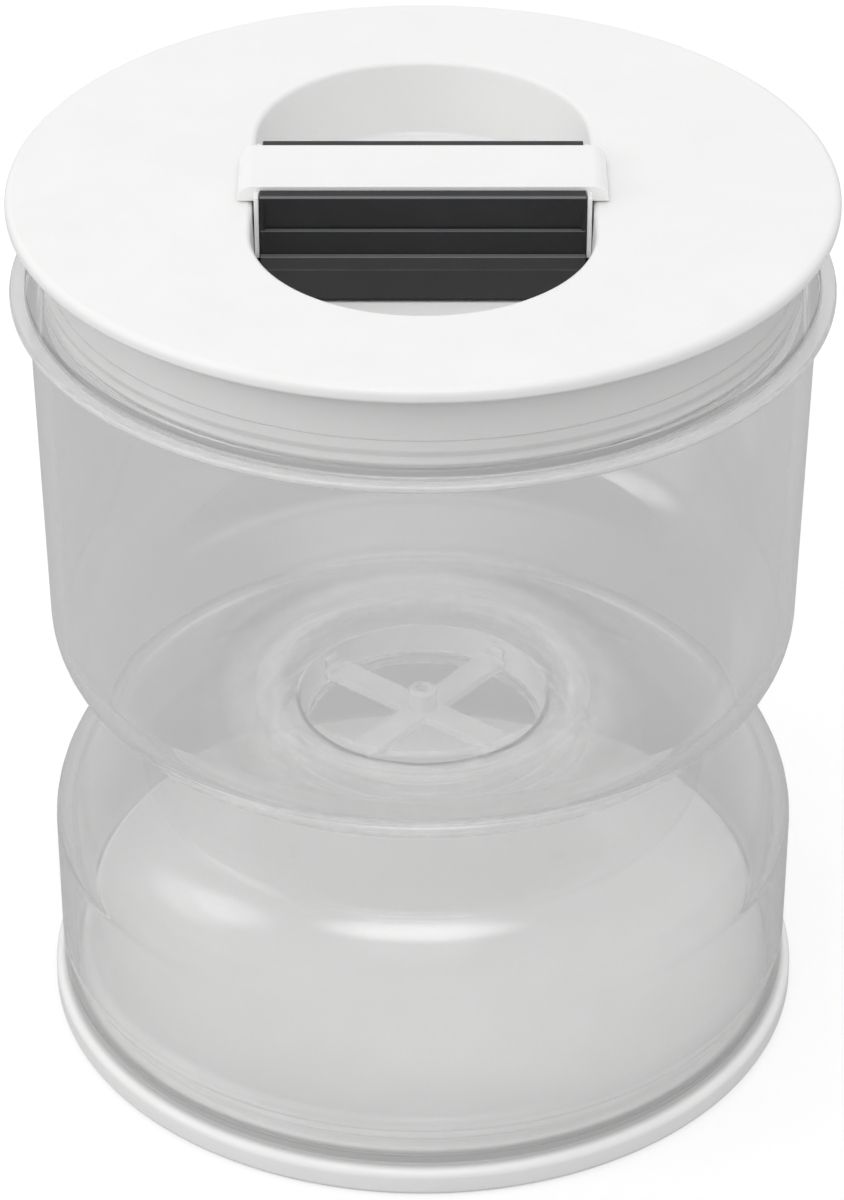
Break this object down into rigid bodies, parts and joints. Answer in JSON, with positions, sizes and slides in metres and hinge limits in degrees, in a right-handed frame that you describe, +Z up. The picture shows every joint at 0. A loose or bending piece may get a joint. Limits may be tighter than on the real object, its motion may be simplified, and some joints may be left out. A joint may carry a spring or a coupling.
{
  "type": "pickle jar with strainer",
  "caption": "Clear hourglass jar for pickles, with a strainer in its waist, a base cap and a sealing lid with a push-down grip.",
  "frame": {"origin": "centre of the underside of the base cap, on the jar's axis", "axes": "+Z up the jar's axis, +X along the grip bar, -Y towards the front"},
  "size_m": [0.12, 0.12, 0.1422],
  "materials": {
    "clear_plastic": "clear moulded plastic, polished",
    "white_plastic": "white moulded plastic, satin",
    "dark_plastic": "dark grey moulded plastic, satin",
    "silicone": "translucent pale silicone",
    "screw_steel": "stainless screw"
  },
  "bodies": {
    "base": {"base_cap": "white_plastic", "base_seal": "silicone"},
    "lower_jar": {"lower_jar": "clear_plastic"},
    "neck_seal": {"neck_seal": "silicone"},
    "upper_jar": {"upper_jar": "clear_plastic"},
    "strainer": {"strainer": "clear_plastic"},
    "lid": {"lid_cover": "white_plastic", "seal_band": "silicone", "lid_base": "white_plastic", "lid_screw_1": "screw_steel", "lid_screw_2": "screw_steel", "lid_screw_3": "screw_steel", "lid_screw_4": "screw_steel", "stem_seal_1": "silicone", "stem_seal_2": "silicone"},
    "handle": {"handle_block": "dark_plastic", "grip_bar": "white_plastic", "plunger": "white_plastic", "handle_screw_1": "screw_steel", "handle_screw_2": "screw_steel"}
  },
  "joints": [
    {"name": "base_pull", "type": "slide", "parent": "base", "child": "lower_jar", "axis": [0, 0, 1], "range_m": [0, 0.012]},
    {"name": "neck_rise", "type": "slide", "parent": "lower_jar", "child": "neck_seal", "axis": [0, 0, 1], "range_m": [0, 0.0071]},
    {"name": "neck_turn", "type": "hinge", "parent": "neck_seal", "child": "upper_jar", "pos_m": [0, 0, 0.05], "axis": [0, 0, 1], "range_deg": [0, 630]},
    {"name": "strainer_lift", "type": "slide", "parent": "upper_jar", "child": "strainer", "axis": [0, 0, 1], "range_m": [0, 0.03]},
    {"name": "lid_lift", "type": "slide", "parent": "upper_jar", "child": "lid", "axis": [0, 0, 1], "range_m": [0, 0.03]},
    {"name": "handle_pull", "type": "slide", "parent": "lid", "child": "handle", "axis": [0, 0, 1], "range_m": [0, 0.004]}
  ],
  "couplings": [
    {"joint": "neck_rise", "follows": "neck_turn", "m_per_rad": 0.0006366}
  ]
}
